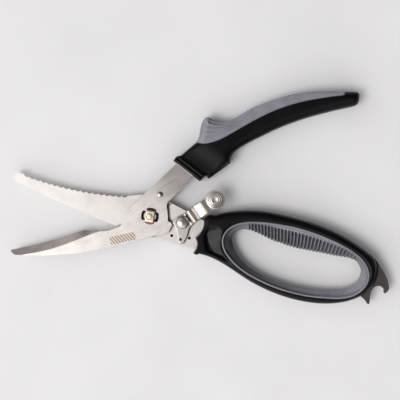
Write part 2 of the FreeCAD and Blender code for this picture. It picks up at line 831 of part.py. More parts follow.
def make_lock_lever():
    plan = doc.addObject("Sketcher::SketchObject", "lever_plan")
    for run in lever_outline():
        plan.addGeometry(run_geometry(run), False)
    hole = Part.Circle(
        Vector(size("rivet_x"), size("rivet_y"), 0),
        Vector(0, 0, 1),
        size("rivet_radius") + size("rivet_clearance"),
    )
    plan.addGeometry(hole, False)
    blank = doc.addObject("Part::Extrusion", "lever_blank")
    blank.Base = plan
    blank.DirMode = "Custom"
    blank.Dir = Vector(0, 0, 1)
    blank.Solid = True
    bind(blank, "LengthFwd", "handle_thickness * 2")

    under = [Vector(u, 0, z) for u, z in lever_profile(0.0)]
    over = [Vector(u, 0, z) for u, z in lever_profile(size("lever_thickness"))]
    ring = under + list(reversed(over)) + [under[0]]
    side = Part.Face(Part.makePolygon(ring))
    sheet_metal = side.extrude(Vector(0, 60, 0))
    sheet_metal.translate(Vector(0, -30, 0))
    sheet_metal = try_fillet(sheet_metal, BEND_ROUNDING, is_bend_edge)
    place = FreeCAD.Placement(
        Vector(size("rivet_x"), size("rivet_y"), 0),
        FreeCAD.Rotation(Vector(0, 0, 1), size("lever_angle")),
    )
    sheet_metal.Placement = place.multiply(sheet_metal.Placement)
    bent = add_common("lever_bent", blank, add_shape("lever_sheet", sheet_metal))

    button = doc.addObject("Part::Sphere", "thumb_button_sphere")
    bind(button, "Radius", "button_sphere_radius")
    sphere = size("button_sphere_radius")
    middle = lever_point(size("pad_reach"), 0.0)
    crown = size("tab_underside") + size("lever_thickness") + size("button_rise")
    button.Placement.Base = point(middle, crown - sphere)
    keep = doc.addObject("Part::Cylinder", "thumb_button_limit")
    bind(keep, "Radius", "button_limit_radius")
    bind(keep, "Height", "lever_thickness * 2")
    keep.Placement.Base = point(middle, size("tab_underside") + size("lever_thickness") / 2.0)
    grooved = add_fuse("lever_buttoned", bent, add_common("thumb_button", button, keep))
    for number, radius in enumerate(THUMB_GROOVES, start=1):
        groove = doc.addObject("Part::Torus", f"thumb_groove_{number}")
        groove.Radius1 = radius
        bind(groove, "Radius2", "thumb_groove_radius")
        fall = sphere - math.sqrt(sphere**2 - radius**2)
        groove.Placement.Base = point(middle, crown - fall)
        grooved = add_cut(f"lever_grooved_{number}", grooved, groove)

    pip = doc.addObject("Part::Cylinder", "detent_pip")
    bind(pip, "Radius", "detent_radius * 0.8")
    bind(pip, "Height", "lever_lift")
    pip.Placement.Base = point(detent_points()[1], level(BACK_TOP) + size("washer_gap"))
    return add_fuse("lock_lever", grooved, pip)


def is_bend_edge(edge):
    box = edge.BoundBox
    crosses = box.YLength > 50.0 and box.XLength < 1e-3 and box.ZLength < 1e-3
    return crosses and 0.0 < box.XMin < 33.0


# ---------------------------------------------------------------- handles


def rounded_slab(outline):
    """A slab of the full handle thickness, rounded along its edges."""
    top = size("handle_thickness")
    solid = slab(outline, 0.0, top)

    def wanted(edge):
        return lies_flat_at(edge, 0.0) or lies_flat_at(edge, top)

    return try_fillet(solid, size("shell_fillet"), wanted)


def grip_tongue():
    """The rib of the black handle that locks into a groove of the grey grip."""
    height = size("tongue_height")
    middle = size("handle_thickness") / 2.0
    half = size("tongue_thickness") / 2.0
    near = [(x + 0.8, y - 1.0) for x, y in GRIP_BORDER[1:-1]]
    far = [(x - 0.4 * height, y + 0.9 * height) for x, y in GRIP_BORDER[1:-1]]
    return slab(chain(near, list(reversed(far))), middle - half, middle + half)


def make_straight_handle(blade):
    whole = rounded_slab(straight_handle_outline())
    zone = slab(straight_grip_zone(), -1.0, size("handle_thickness") + 1.0)
    tongue = grip_tongue()
    grip = whole.common(zone).cut(tongue).cut(blade.Shape)
    shell = whole.cut(zone).fuse(tongue).cut(blade.Shape)
    grip_part = add_shape("straight_handle_grip", biggest(grip))
    shell_part = add_shape("straight_handle_shell", biggest(shell))
    return shell_part, grip_part


def make_loop_handle(blade, opener):
    whole = rounded_slab(loop_handle_outline())
    rim = slab(liner_rim_outline(), -1.0, size("handle_thickness") + 1.0)
    shell = whole.cut(rim).cut(blade.Shape).cut(opener.Shape)
    shell_part = add_shape("loop_handle_shell", biggest(shell))

    rise = size("liner_rise")
    liner = slab(liner_rim_outline(), rise, size("handle_thickness") - rise)
    liner = liner.cut(slab(liner_opening_outline(), -1.0, size("handle_thickness") + 1.0))
    low = rise
    high = size("handle_thickness") - rise
    opening = face_of(liner_opening_outline()).BoundBox

    def rounds(edge):
        flat = lies_flat_at(edge, low) or lies_flat_at(edge, high)
        box = edge.BoundBox
        inside = box.XMin > opening.XMin - 0.5 and box.XMax < opening.XMax + 0.5
        return flat and inside and box.YMax < opening.YMax + 0.5 and box.YMin > opening.YMin - 0.5

    liner = try_fillet(liner, size("liner_rounding"), rounds)
    liner_part = add_shape("loop_grip_liner", biggest(liner))
    return shell_part, liner_part


def biggest(shape):
    return max(shape.Solids, key=lambda solid: solid.Volume)


def make_bottle_opener():
    body = new_body("bottle_opener")
    low = "handle_thickness / 2 - opener_thickness / 2"
    outline = add_sketch(body, "opener_outline", [opener_outline()], low)
    pad(body, "opener_plate", outline, "opener_thickness")
    return body


# ---------------------------------------------------------------- the whole object


def check(objects):
    for item in doc.Objects:
        if "Invalid" in item.State or "Error" in item.State:
            raise RuntimeError(item.Label + " did not build: " + str(item.State))
    for item in objects:
        shape = item.Shape
        if shape.isNull() or not shape.isValid() or shape.Volume <= 0.0:
            raise RuntimeError(item.Label + " has no valid shape")


def centre_frame(parts):
    """Put the origin under the middle of the whole object."""
    whole = Part.makeCompound([item.Shape for item in parts.values()])
    box = whole.optimalBoundingBox(False, False)
    sheet.set(cell_of("frame_x"), str(round(-box.Center.x, 2)))
    sheet.set(cell_of("frame_y"), str(round(-box.Center.y, 2)))
    for name, item in parts.items():
        beside_x, beside_y = OFF_PIVOT.get(name, ("", ""))
        bind(item, "Placement.Base.x", "frame_x" + beside_x)
        bind(item, "Placement.Base.y", "frame_y" + beside_y)
    doc.recompute()
    print("pivot at", size("frame_x"), size("frame_y"))
    print("box", round(box.XLength, 2), round(box.YLength, 2), round(box.ZLength, 2))


def cell_of(alias):
    return f"B{list(DIMENSIONS).index(alias) + 1}"


# The turned pieces that stand beside the pivot are made on their own axis.
ON_RIVET = (" + rivet_x", " + rivet_y")
OFF_PIVOT = {
    "lever_rivet": ON_RIVET,
    "lever_washer": ON_RIVET,
    "lever_spring_washer": ON_RIVET,
    "stop_pin": (" + pin_x", " + pin_y"),
}


def main():
    fill_sheet()
    parts = {}
    serrated = make_serrated_blade()
    cutting = make_cutting_blade()
    opener = make_bottle_opener()
    doc.recompute()
    parts["serrated_blade"] = serrated
    parts["cutting_blade"] = cutting
    parts["bottle_opener"] = opener
    shell, grip = make_straight_handle(cutting)
    parts["straight_handle_shell"] = shell
    parts["straight_handle_grip"] = grip
    shell, liner = make_loop_handle(serrated, opener)
    parts["loop_handle_shell"] = shell
    parts["loop_grip_liner"] = liner
    parts["pivot_stud"] = make_pivot_stud()
    parts["keeper_plate"] = make_keeper_plate()
    parts.update(make_washers())
    parts["lever_rivet"] = make_lever_rivet()
    parts["stop_pin"] = make_stop_pin()
    parts["torsion_spring"] = make_torsion_spring()
    parts["lock_lever"] = make_lock_lever()
    doc.recompute()

    centre_frame(parts)
    check(parts.values())
    os.makedirs("parts", exist_ok=True)
    for name, item in parts.items():
        item.Label = name
        item.Shape.exportStep(os.path.join("parts", name + ".step"))
        print(name, "solids", len(item.Shape.Solids), "volume", round(item.Shape.Volume, 1))


main()
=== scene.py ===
import json
import math

import bpy
import numpy as np
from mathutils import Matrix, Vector
from mathutils.geometry import delaunay_2d_cdt


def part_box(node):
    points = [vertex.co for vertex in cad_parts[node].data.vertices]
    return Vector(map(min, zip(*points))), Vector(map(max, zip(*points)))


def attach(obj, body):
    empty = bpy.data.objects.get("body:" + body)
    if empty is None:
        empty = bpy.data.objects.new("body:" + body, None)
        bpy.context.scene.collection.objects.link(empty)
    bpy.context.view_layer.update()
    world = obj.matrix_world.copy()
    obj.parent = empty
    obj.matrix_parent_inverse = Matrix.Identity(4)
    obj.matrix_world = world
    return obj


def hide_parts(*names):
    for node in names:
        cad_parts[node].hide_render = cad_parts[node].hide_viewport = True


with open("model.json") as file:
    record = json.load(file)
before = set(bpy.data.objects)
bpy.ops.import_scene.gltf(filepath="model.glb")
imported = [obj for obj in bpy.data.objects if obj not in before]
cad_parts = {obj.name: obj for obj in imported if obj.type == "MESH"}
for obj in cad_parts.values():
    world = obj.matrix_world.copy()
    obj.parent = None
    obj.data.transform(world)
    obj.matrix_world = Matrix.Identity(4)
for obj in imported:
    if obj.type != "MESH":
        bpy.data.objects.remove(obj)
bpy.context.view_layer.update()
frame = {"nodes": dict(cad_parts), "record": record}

MM = 0.001
JOINTS = {joint["name"]: joint for joint in frame["record"]["behaviour"]["joints"]}
PIVOT = np.array(JOINTS["blade_pivot"]["pos_m"][:2]) / MM

# The handles lie on the floor, so the height of their middle plane is also half their thickness.
MIDDLE = sum(corner[2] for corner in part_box("loop_handle_shell")) / 2.0 / MM
HALF = MIDDLE


# ---------------------------------------------------------------- camera, floor, light

LENS = 100.0
SENSOR = 36.0
VIEW_WIDTH = 264.0 * MM
BLADE_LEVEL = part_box("cutting_blade")[1][2]
VIEW_CENTRE = (PIVOT + np.array([33.0, 10.7])) * MM

KEY_PLACE = (-0.72, -0.42, 1.7)
KEY_SIZE = 0.85
KEY_POWER = 14.8
KEY_COLOUR = (1.0, 0.99, 0.985)
BRIGHT_SIDE = (-0.6, -0.45, 0.55)
BRIGHT_TONE = (1.0, 0.985, 0.975)
FAR_TONE = (0.07, 0.07, 0.075)
SIDE_STRENGTH = 1.6
OVERHEAD_STRENGTH = 0.42


def add_camera():
    """A long lens straight above, framing the view at the level of the blades."""
    data = bpy.data.cameras.new("camera")
    data.lens = LENS
    data.sensor_width = SENSOR
    camera = bpy.data.objects.new("camera", data)
    bpy.context.scene.collection.objects.link(camera)
    distance = VIEW_WIDTH / SENSOR * LENS
    camera.location = (VIEW_CENTRE[0], VIEW_CENTRE[1], BLADE_LEVEL + distance)
    bpy.context.scene.camera = camera


def add_area_light(name, location, target, size, power, colour):
    data = bpy.data.lights.new(name, "AREA")
    data.shape = "DISK"
    data.size = size
    data.energy = power
    data.color = colour
    lamp = bpy.data.objects.new(name, data)
    bpy.context.scene.collection.objects.link(lamp)
    lamp.location = location
    aim = Vector(target) - Vector(location)
    lamp.rotation_euler = aim.to_track_quat("-Z", "Y").to_euler()


def add_lights():
    add_area_light("key_light", KEY_PLACE, (0, 0, 0), KEY_SIZE, KEY_POWER, KEY_COLOUR)
    add_studio_world()


def add_studio_world():
    """A pale room: brightest towards the key light, darker on the far side and overhead."""
    world = bpy.data.worlds.new("studio")
    bpy.context.scene.world = world
    world.use_nodes = True
    nodes = world.node_tree.nodes
    links = world.node_tree.links
    direction = nodes.new("ShaderNodeTexCoord").outputs["Generated"]
    towards = nodes.new("ShaderNodeVectorMath")
    towards.operation = "DOT_PRODUCT"
    towards.inputs[1].default_value = Vector(BRIGHT_SIDE).normalized()
    ramp = nodes.new("ShaderNodeValToRGB")
    ramp.color_ramp.elements[0].position = 0.05
    ramp.color_ramp.elements[0].color = (*FAR_TONE, 1.0)
    ramp.color_ramp.elements[1].position = 0.95
    ramp.color_ramp.elements[1].color = (*BRIGHT_TONE, 1.0)
    split = nodes.new("ShaderNodeSeparateXYZ")
    overhead = nodes.new("ShaderNodeMapRange")
    overhead.inputs["From Min"].default_value = 0.8
    overhead.inputs["From Max"].default_value = 0.98
    overhead.inputs["To Min"].default_value = SIDE_STRENGTH
    overhead.inputs["To Max"].default_value = OVERHEAD_STRENGTH
    links.new(direction, towards.inputs[0])
    links.new(towards.outputs["Value"], ramp.inputs["Fac"])
    links.new(ramp.outputs["Color"], nodes["Background"].inputs["Color"])
    links.new(direction, split.inputs["Vector"])
    links.new(split.outputs["Z"], overhead.inputs["Value"])
    links.new(overhead.outputs["Result"], nodes["Background"].inputs["Strength"])


# ---------------------------------------------------------------- materials

UNCHANGED = (1.0, 1.0, 1.0)


class Shader:
    """A material with one Principled shader and a few helpers to wire textures into it."""

    def __init__(self, name, colour, roughness, metallic=0.0):
        self.material = bpy.data.materials.new(name)
        self.material.use_nodes = True
        self.nodes = self.material.node_tree.nodes
        self.links = self.material.node_tree.links
        self.surface = self.nodes["Principled BSDF"]
        self.set("Base Color", (*colour, 1.0))
        self.set("Roughness", roughness)
        self.set("Metallic", metallic)
        self.place = self.nodes.new("ShaderNodeTexCoord").outputs["Object"]

    def set(self, socket, value):
        self.surface.inputs[socket].default_value = value

    def mapped(self, scale, turn=0.0):
        """The object's own coordinates, turned by some degrees and then stretched."""
        mapping = self.nodes.new("ShaderNodeMapping")
        mapping.inputs["Scale"].default_value = scale
        turned = self.nodes.new("ShaderNodeVectorRotate")
        turned.rotation_type = "Z_AXIS"
        turned.inputs["Angle"].default_value = -math.radians(turn)
        self.links.new(self.place, turned.inputs["Vector"])
        self.links.new(turned.outputs["Vector"], mapping.inputs["Vector"])
        return mapping.outputs["Vector"]

    def noise(self, vector, scale, detail=3.0, roughness=0.55):
        node = self.nodes.new("ShaderNodeTexNoise")
        node.inputs["Scale"].default_value = scale
        node.inputs["Detail"].default_value = detail
        node.inputs["Roughness"].default_value = roughness
        self.links.new(vector, node.inputs["Vector"])
        return node.outputs["Fac"]

    def ramp(self, value, stops):
        node = self.nodes.new("ShaderNodeValToRGB")
        elements = node.color_ramp.elements
        while len(elements) < len(stops):
            elements.new(0.5)
        for element, (position, colour) in zip(elements, stops):
            element.position = position
            element.color = (*colour, 1.0)
        self.links.new(value, node.inputs["Fac"])
        return node.outputs["Color"]

    def spread(self, value, low, high, source=(0.3, 0.7)):
        """A value stretched from the source range to low and high, and kept between them."""
        node = self.nodes.new("ShaderNodeMapRange")
        node.inputs["From Min"].default_value = source[0]
        node.inputs["From Max"].default_value = source[1]
        node.inputs["To Min"].default_value = low
        node.inputs["To Max"].default_value = high
        self.links.new(value, node.inputs["Value"])
        return node.outputs["Result"]

    def add(self, first, second, weight):
        """The first value plus a weighted second one."""
        node = self.nodes.new("ShaderNodeMath")
        node.operation = "MULTIPLY_ADD"
        node.inputs[1].default_value = weight
        self.links.new(second, node.inputs[0])
        self.links.new(first, node.inputs[2])
        return node.outputs["Value"]

    def multiply(self, colour, factor):
        node = self.nodes.new("ShaderNodeVectorMath")
        node.operation = "MULTIPLY"
        self.links.new(colour, node.inputs[0])
        self.links.new(factor, node.inputs[1])
        return node.outputs["Vector"]

    def along(self, direction, origin):
        """Distance in millimetres from an origin along a level direction."""
        node = self.nodes.new("ShaderNodeVectorMath")
        node.operation = "DOT_PRODUCT"
        node.inputs[1].default_value = (direction[0] / MM, direction[1] / MM, 0.0)
        self.links.new(self.place, node.inputs[0])
        return self.math("ADD", node.outputs["Value"], -float(np.dot(direction, origin)))

    def painted_occlusion_shade(self, distance, dark, stops=(0.36, 0.6), lean=(-0.8, -0.45, 0.0)):
        """Painted shade where a neighbour stands close on the side of the key light, found by occlusion.

        stops are the openness at which the painted shade is full and at which it is gone, and lean tips
        the search towards the light.
        """
        node = self.nodes.new("ShaderNodeAmbientOcclusion")
        node.samples = 8
        node.inputs["Distance"].default_value = distance * MM
        leaning = self.nodes.new("ShaderNodeVectorMath")
        leaning.operation = "ADD"
        leaning.inputs[1].default_value = lean
        unit = self.nodes.new("ShaderNodeVectorMath")
        unit.operation = "NORMALIZE"
        self.links.new(self.nodes.new("ShaderNodeNewGeometry").outputs["Normal"], leaning.inputs[0])
        self.links.new(leaning.outputs["Vector"], unit.inputs[0])
        self.links.new(unit.outputs["Vector"], node.inputs["Normal"])
        return self.ramp(node.outputs["AO"], [(stops[0], (dark, dark, dark)), (stops[1], UNCHANGED)])

    def facing(self, direction=(0.0, 0.0, 1.0)):
        """How squarely a face looks along a direction: by default 1 for level faces."""
        coordinates = self.nodes.new("ShaderNodeTexCoord")
        node = self.nodes.new("ShaderNodeVectorMath")
        node.operation = "DOT_PRODUCT"
        node.inputs[1].default_value = direction
        self.links.new(coordinates.outputs["Normal"], node.inputs[0])
        return node.outputs["Value"]

    def math(self, operation, first, second):
        """A maths node. Each value is a plain number or another node's output."""
        node = self.nodes.new("ShaderNodeMath")
        node.operation = operation
        for socket, value in zip(node.inputs, (first, second)):
            if isinstance(value, float):
                socket.default_value = value
            else:
                self.links.new(value, socket)
        return node.outputs["Value"]

    def hatched_band(self, centre, turn, half_length, half_width, pitch):
        """A plain decorative band of slanting strokes: 1 on a stroke and 0 off it."""
        angle = math.radians(turn)
        length = self.along((math.cos(angle), math.sin(angle)), centre)
        width = self.along((-math.sin(angle), math.cos(angle)), centre)
        end = self.math("SUBTRACT", half_length, self.math("ABSOLUTE", length, 0.0))
        side = self.math("SUBTRACT", half_width, self.math("ABSOLUTE", width, 0.0))
        within = self.spread(self.math("MINIMUM", end, side), 0.0, 1.0, (0.0, 0.25))
        slanting = self.math("MULTIPLY_ADD", width, 0.6)
        self.links.new(length, slanting.node.inputs[2])
        wave = self.math("SINE", self.math("MULTIPLY", slanting, 2.0 * math.pi / pitch), 0.0)
        return self.math("MULTIPLY", within, self.spread(wave, 0.0, 1.0, (-0.5, 0.1)))

    def wire(self, value, socket):
        self.links.new(value, self.surface.inputs[socket])

    def bump(self, value, strength, distance):
        node = self.nodes.new("ShaderNodeBump")
        node.inputs["Strength"].default_value = strength
        node.inputs["Distance"].default_value = distance
        self.links.new(value, node.inputs["Height"])
        self.links.new(node.outputs["Normal"], self.surface.inputs["Normal"])


# Span in mm along the straight handle of a painted highlight on the tang just before the collar.
COLLAR_GLINT = (37.7, 37.9)


def brushed_steel(
    name,
    light,
    dark,
    roughness,
    turn,
    streak=1.0,
    shade=None,
    ground=None,
    seam=(3.0, 0.03),
    etched=None,
    painted_side_shading=None,
):
    """Steel with fine grinding streaks along one direction and faint cloudy stains.

    shade paints shade and light on the steel along a direction from an origin, as stops of distance
    and tone, and a painted highlight just before the collar. ground is the tone of the ground bevels,
    seam says how the painted shade near a neighbour darkens it, etched places a hatched band,
    and faces that look along the direction in the last argument get painted shade.
    """
    shader = Shader(name, light, roughness, 1.0)
    streaks = shader.noise(shader.mapped((60.0, 2600.0, 60.0), turn), 1.0, 4.0, 0.6)
    clouds = shader.noise(shader.place, 90.0, 4.0, 0.6)
    mixed = shader.add(clouds, streaks, 0.8 * streak)
    centre = 0.5 + 0.4 * streak
    stops = [(centre - 0.28, dark), (centre + 0.12, light)]
    colour = shader.ramp(mixed, stops)
    # Painted shade near neighbours.
    painted_shade_and_glint = shader.painted_occlusion_shade(*seam)
    # Painted shade and light along the given direction.
    if shade:
        direction, origin, tones = shade
        low, high = tones[0][0], tones[-1][0]
        share = shader.spread(shader.along(direction, origin), 0.0, 1.0, (low, high))
        tones = [((at - low) / (high - low), (tone, tone, tone)) for at, tone in tones]
        colour = shader.multiply(colour, shader.ramp(share, tones))
        # A painted highlight on the tang just before the collar.
        glint_span = tuple((reach - low) / (high - low) for reach in COLLAR_GLINT)
        glint = shader.spread(share, 0.0, 1.5, glint_span)
        painted_shade_and_glint = shader.math("MAXIMUM", painted_shade_and_glint, glint)
    colour = shader.multiply(colour, painted_shade_and_glint)
    if ground:
        bevels = [(0.42, UNCHANGED), (0.5, ground), (0.93, ground), (0.985, UNCHANGED)]
        colour = shader.multiply(colour, shader.ramp(shader.facing(), bevels))
    # Painted shade on faces that look along the given direction.
    if painted_side_shading:
        painted_side_shade = shader.spread(shader.facing(painted_side_shading), 1.0, 0.08, (0.34, 0.6))
        colour = shader.multiply(colour, painted_side_shade)
    if etched:
        strokes = shader.hatched_band(*etched)
        colour = shader.multiply(colour, shader.ramp(strokes, [(0.0, UNCHANGED), (1.0, (0.5, 0.38, 0.27))]))
    shader.wire(colour, "Base Color")
    shader.wire(shader.spread(streaks, roughness - 0.07, roughness + 0.1), "Roughness")
    shader.bump(streaks, 0.2 * streak, 0.015 * MM)
    return shader.material


def polished_steel(name, light, dark, roughness, ends=None):
    """Small turned and peened pieces: smooth, with faint handling marks and painted shade near neighbours.

    Faces that look along ends, or straight against it, get a painted dull-brown reflection.
    """
    shader = Shader(name, light, roughness, 1.0)
    marks = shader.noise(shader.place, 900.0, 4.0, 0.65)
    colour = shader.ramp(marks, [(0.3, dark), (0.62, light)])
    if ends:
        # Painted dull-brown reflection on faces that look along the ends direction.
        bent = shader.spread(shader.math("ABSOLUTE", shader.facing(ends), 0.0), 0.0, 1.0, (0.12, 0.45))
        colour = shader.multiply(colour, shader.ramp(bent, [(0.0, UNCHANGED), (1.0, (0.3, 0.23, 0.17))]))
    # Painted shade near neighbours, found by occlusion.
    shader.wire(shader.multiply(colour, shader.painted_occlusion_shade(2.0, 0.04)), "Base Color")
    shader.wire(shader.spread(marks, roughness + 0.1, roughness - 0.04), "Roughness")
    shader.bump(marks, 0.12, 0.03 * MM)
    return shader.material


def moulded_plastic(name, colour, worn, roughness):
    """Spark-eroded black moulding: a fine even grain and slight cloudiness."""
    shader = Shader(name, colour, roughness)
    shader.set("Specular IOR Level", 0.15)
    grain = shader.noise(shader.place, 2600.0, 2.0, 0.5)
    clouds = shader.noise(shader.place, 60.0, 3.0, 0.6)
    shader.wire(shader.ramp(clouds, [(0.35, colour), (0.75, worn)]), "Base Color")
    shader.wire(shader.spread(clouds, roughness - 0.05, roughness + 0.07), "Roughness")
    shader.bump(grain, 0.22, 0.05 * MM)
    return shader.material


def soft_grip(name, colour, dark):
    """Soft elastomer: matt, with a silky grain and darker patches; painted shade on walls, near neighbours
    and on faces turned from the key light, and painted light on faces towards +y.
    """
    shader = Shader(name, colour, 0.55)
    shader.set("Specular IOR Level", 0.35)
    grain = shader.noise(shader.place, 1900.0, 3.0, 0.55)
    clouds = shader.noise(shader.place, 120.0, 4.0, 0.6)
    mixed = shader.add(clouds, grain, 0.25)
    # Painted shade near neighbours, found by occlusion.
    painted_occlusion_shade = shader.painted_occlusion_shade(6.0, 0.26, (0.08, 0.62), (-0.6, 0.3, 0.0))
    tone = shader.multiply(shader.ramp(mixed, [(0.45, dark), (0.85, colour)]), painted_occlusion_shade)
    # Painted shade on faces turned from the key light, times painted light on faces towards +y.
    painted_side_shading = shader.spread(shader.facing((-0.8, -0.1, 0.4)), 0.12, 1.0, (-0.3, 0.05))
    painted_side_shading = shader.math("MULTIPLY", painted_side_shading, shader.spread(shader.facing((0.0, 1.0, 0.0)), 1.0, 1.5, (0.1, 0.6)))
    # Painted shade on steep walls.
    painted_wall_shade = shader.spread(shader.facing(), 0.7, 1.0, (0.2, 0.8))
    shader.wire(shader.multiply(shader.multiply(tone, painted_side_shading), painted_wall_shade), "Base Color")
    shader.wire(shader.spread(clouds, 0.48, 0.64), "Roughness")
    shader.bump(grain, 0.25, 0.05 * MM)
    return shader.material


def floor_paper():
    shader = Shader("floor_paper", (0.8, 0.795, 0.805), 0.85)
    clouds = shader.noise(shader.place, 14.0, 4.0, 0.5)
    shader.wire(shader.ramp(clouds, [(0.3, (0.78, 0.775, 0.785)), (0.7, (0.83, 0.825, 0.835))]), "Base Color")
    return shader.material


def paint(node, material):
    """Give a CAD node or piece its material in every slot."""
    slots = node.material_slots
    if not slots:
        node.data.materials.append(material)
    for slot in slots:
        slot.material = material


def soften_edges(node, width, angle=32.0):
    """A hairline bevel on a CAD node's sharp edges, so that they catch the light."""
    bevel = node.modifiers.new("soft_edge", "BEVEL")
    bevel.width = width * MM
    bevel.segments = 2
    bevel.limit_method = "ANGLE"
    bevel.angle_limit = math.radians(angle)
    bevel.harden_normals = True


# ---------------------------------------------------------------- outlines from the frame


def slice_node(name, level):
    """Closed loops, in mm, where a level surface cuts a CAD node. The node lies left of them.

    level is a height, or a function that gives the height at points of the plan.
    """
    node = frame["nodes"][name]
    mesh = node.data
    mesh.calc_loop_triangles()
    flat = np.empty(len(mesh.vertices) * 3)
    mesh.vertices.foreach_get("co", flat)
    matrix = np.array(node.matrix_world)
    points = (flat.reshape(-1, 3) @ matrix[:3, :3].T + matrix[:3, 3]) / MM
    corners = np.empty(len(mesh.loop_triangles) * 3, int)
    mesh.loop_triangles.foreach_get("vertices", corners)
    if callable(level):
        points[:, 2] -= level(points[:, :2])
    else:
        points[:, 2] -= level
    triangles = points[corners.reshape(-1, 3)]
    above = triangles[:, :, 2] > 0.0
    starts = {}
    for triangle, side in zip(triangles, above):
        count = side.sum()
        if count in (0, 3):
            continue
        lone = int(np.argmax(side)) if count == 1 else int(np.argmin(side))
        ends = []
        for other in ((lone + 1) % 3, (lone + 2) % 3):
            low, high = triangle[lone], triangle[other]
            share = -low[2] / (high[2] - low[2])
            ends.append((low + share * (high - low))[:2])
        step = ends[1] - ends[0]
        normal = np.cross(triangle[1] - triangle[0], triangle[2] - triangle[0])
        if normal[0] * -step[1] + normal[1] * step[0] > 0.0:
            ends.reverse()
        if math.dist(*ends) > 1e-4:
            starts[tuple(np.round(ends[0], 3))] = ends
    return chain_loops(starts)


def chain_loops(starts):
    """Join cut edges, stored by their starting point, into loops, longest first."""
    loops = []
    while starts:
        key, ends = starts.popitem()
        loop = [ends[0]]
        while ends is not None:
            loop.append(ends[1])
            ends = starts.pop(tuple(np.round(ends[1], 3)), None)
        loops.append(np.array(loop[:-1]))
    loops.sort(key=lambda loop: -perimeter(loop))
    return loops


def perimeter(loop):
    return np.linalg.norm(np.roll(loop, -1, 0) - loop, axis=1).sum()


def resample(loop, spacing, corner=32.0):
    """Even points along a loop, on a smooth curve between its corners."""
    keep = np.linalg.norm(np.roll(loop, 1, 0) - loop, axis=1) > 0.01
    loop = loop[keep]
    ahead = np.roll(loop, -1, 0) - loop
    length = np.linalg.norm(ahead, axis=1)
    slope = ahead / length[:, None]
    behind = np.roll(slope, 1, 0)
    before = np.roll(length, 1)
    turn = np.degrees(np.arccos(np.clip((slope * behind).sum(1), -1.0, 1.0)))
    sharp = turn > corner
    weight = (before / (before + length))[:, None]
    tangent = slope * weight + behind * (1.0 - weight)
    points = []
    for index in range(len(loop)):
        after = (index + 1) % len(loop)
        start = slope[index] if sharp[index] else tangent[index]
        finish = slope[index] if sharp[after] else tangent[after]
        steps = max(1, round(length[index] / spacing))
        for step in range(steps):
            t = step / steps
            h1 = (1 + 2 * t) * (1 - t) ** 2
            h2 = t * (1 - t) ** 2
            h3 = t * t * (3 - 2 * t)
            h4 = t * t * (t - 1)
            points.append(
                h1 * loop[index]
                + h2 * length[index] * start
                + h3 * loop[after]
                + h4 * length[index] * finish
            )
    return thin_out(np.array(points), spacing * 0.45, loop[sharp])


def round_corners(loop, wanted, setback, steps=6):
    """Soften the corners of a loop at the wanted points, starting a setback before them."""
    for corner in wanted:
        middle = int(np.argmin(np.abs(loop - corner).sum(1)))
        loop = np.roll(loop, len(loop) // 2 - middle, 0)
        middle = len(loop) // 2
        first = last = middle
        while math.dist(loop[first], corner) < setback:
            first -= 1
        while math.dist(loop[last], corner) < setback:
            last += 1
        arc = []
        for step in range(1, steps):
            t = step / steps
            bend = (1 - t) ** 2 * loop[first] + 2 * t * (1 - t) * loop[middle] + t * t * loop[last]
            arc.append(bend)
        loop = np.concatenate([loop[: first + 1], arc, loop[last:]])
    return loop


def corners_of(loop, least=40.0):
    """The points where a loop turns by more than the least angle."""
    ahead = np.roll(loop, -1, 0) - loop
    ahead /= np.linalg.norm(ahead, axis=1)[:, None]
    turn = np.degrees(np.arccos(np.clip((ahead * np.roll(ahead, 1, 0)).sum(1), -1.0, 1.0)))
    return loop[turn > least]


def thin_out(points, nearest, corners):
    """Drop points that crowd their neighbour, but never a corner."""
    kept = []
    for here in points:
        is_corner = len(corners) and np.abs(corners - here).sum(1).min() < 1e-6
        if kept and math.dist(kept[-1], here) < nearest:
            if not is_corner:
                continue
            kept.pop()
        kept.append(here)
    return np.array(kept)


def segments_of(loops):
    starts = np.concatenate(loops)
    ends = np.concatenate([np.roll(loop, -1, 0) for loop in loops])
    return starts, ends


BATCH = 2000


def distance_to(points, segments):
    """Distance from each point to the nearest segment, in batches to spare memory."""
    starts, ends = segments
    along = ends - starts
    squared = np.maximum((along**2).sum(1), 1e-12)
    result = np.empty(len(points))
    for first in range(0, len(points), BATCH):
        chunk = points[first : first + BATCH, None, :] - starts[None]
        share = np.clip((chunk * along).sum(2) / squared, 0.0, 1.0)
        gap = chunk - share[..., None] * along
        result[first : first + BATCH] = np.sqrt((gap**2).sum(2).min(1))
    return result


def inside(points, loops):
    """Which points of the plan lie within the loops, by counting crossings."""
    starts, ends = segments_of(loops)
    result = np.zeros(len(points), bool)
    for first in range(0, len(points), BATCH):
        chunk = points[first : first + BATCH]
        x, y = chunk[:, :1], chunk[:, 1:]
        spans = (starts[:, 1] > y) != (ends[:, 1] > y)
        rise = np.where(ends[:, 1] == starts[:, 1], 1.0, ends[:, 1] - starts[:, 1])
        crossing = starts[:, 0] + (y - starts[:, 1]) / rise * (ends[:, 0] - starts[:, 0])
        result[first : first + BATCH] = ((spans & (x < crossing)).sum(1) % 2).astype(bool)
    return result


def stretches(loops, others, shared, near=0.08):
    """The stretches of some loops that run along the other loops, or that don't, as segments."""
    starts, ends = segments_of(loops)
    middles = (starts + ends) / 2.0
    wanted = (distance_to(middles, segments_of(others)) < near) == shared
    return starts[wanted], ends[wanted]


def smooth_step(value, low, high):
    share = np.clip((value - low) / (high - low), 0.0, 1.0)
    return share * share * (3.0 - 2.0 * share)


# ---------------------------------------------------------------- mouldings


ROW_ANGLES = (16.0, 30.0, 44.0, 58.0, 72.0, 88.0)


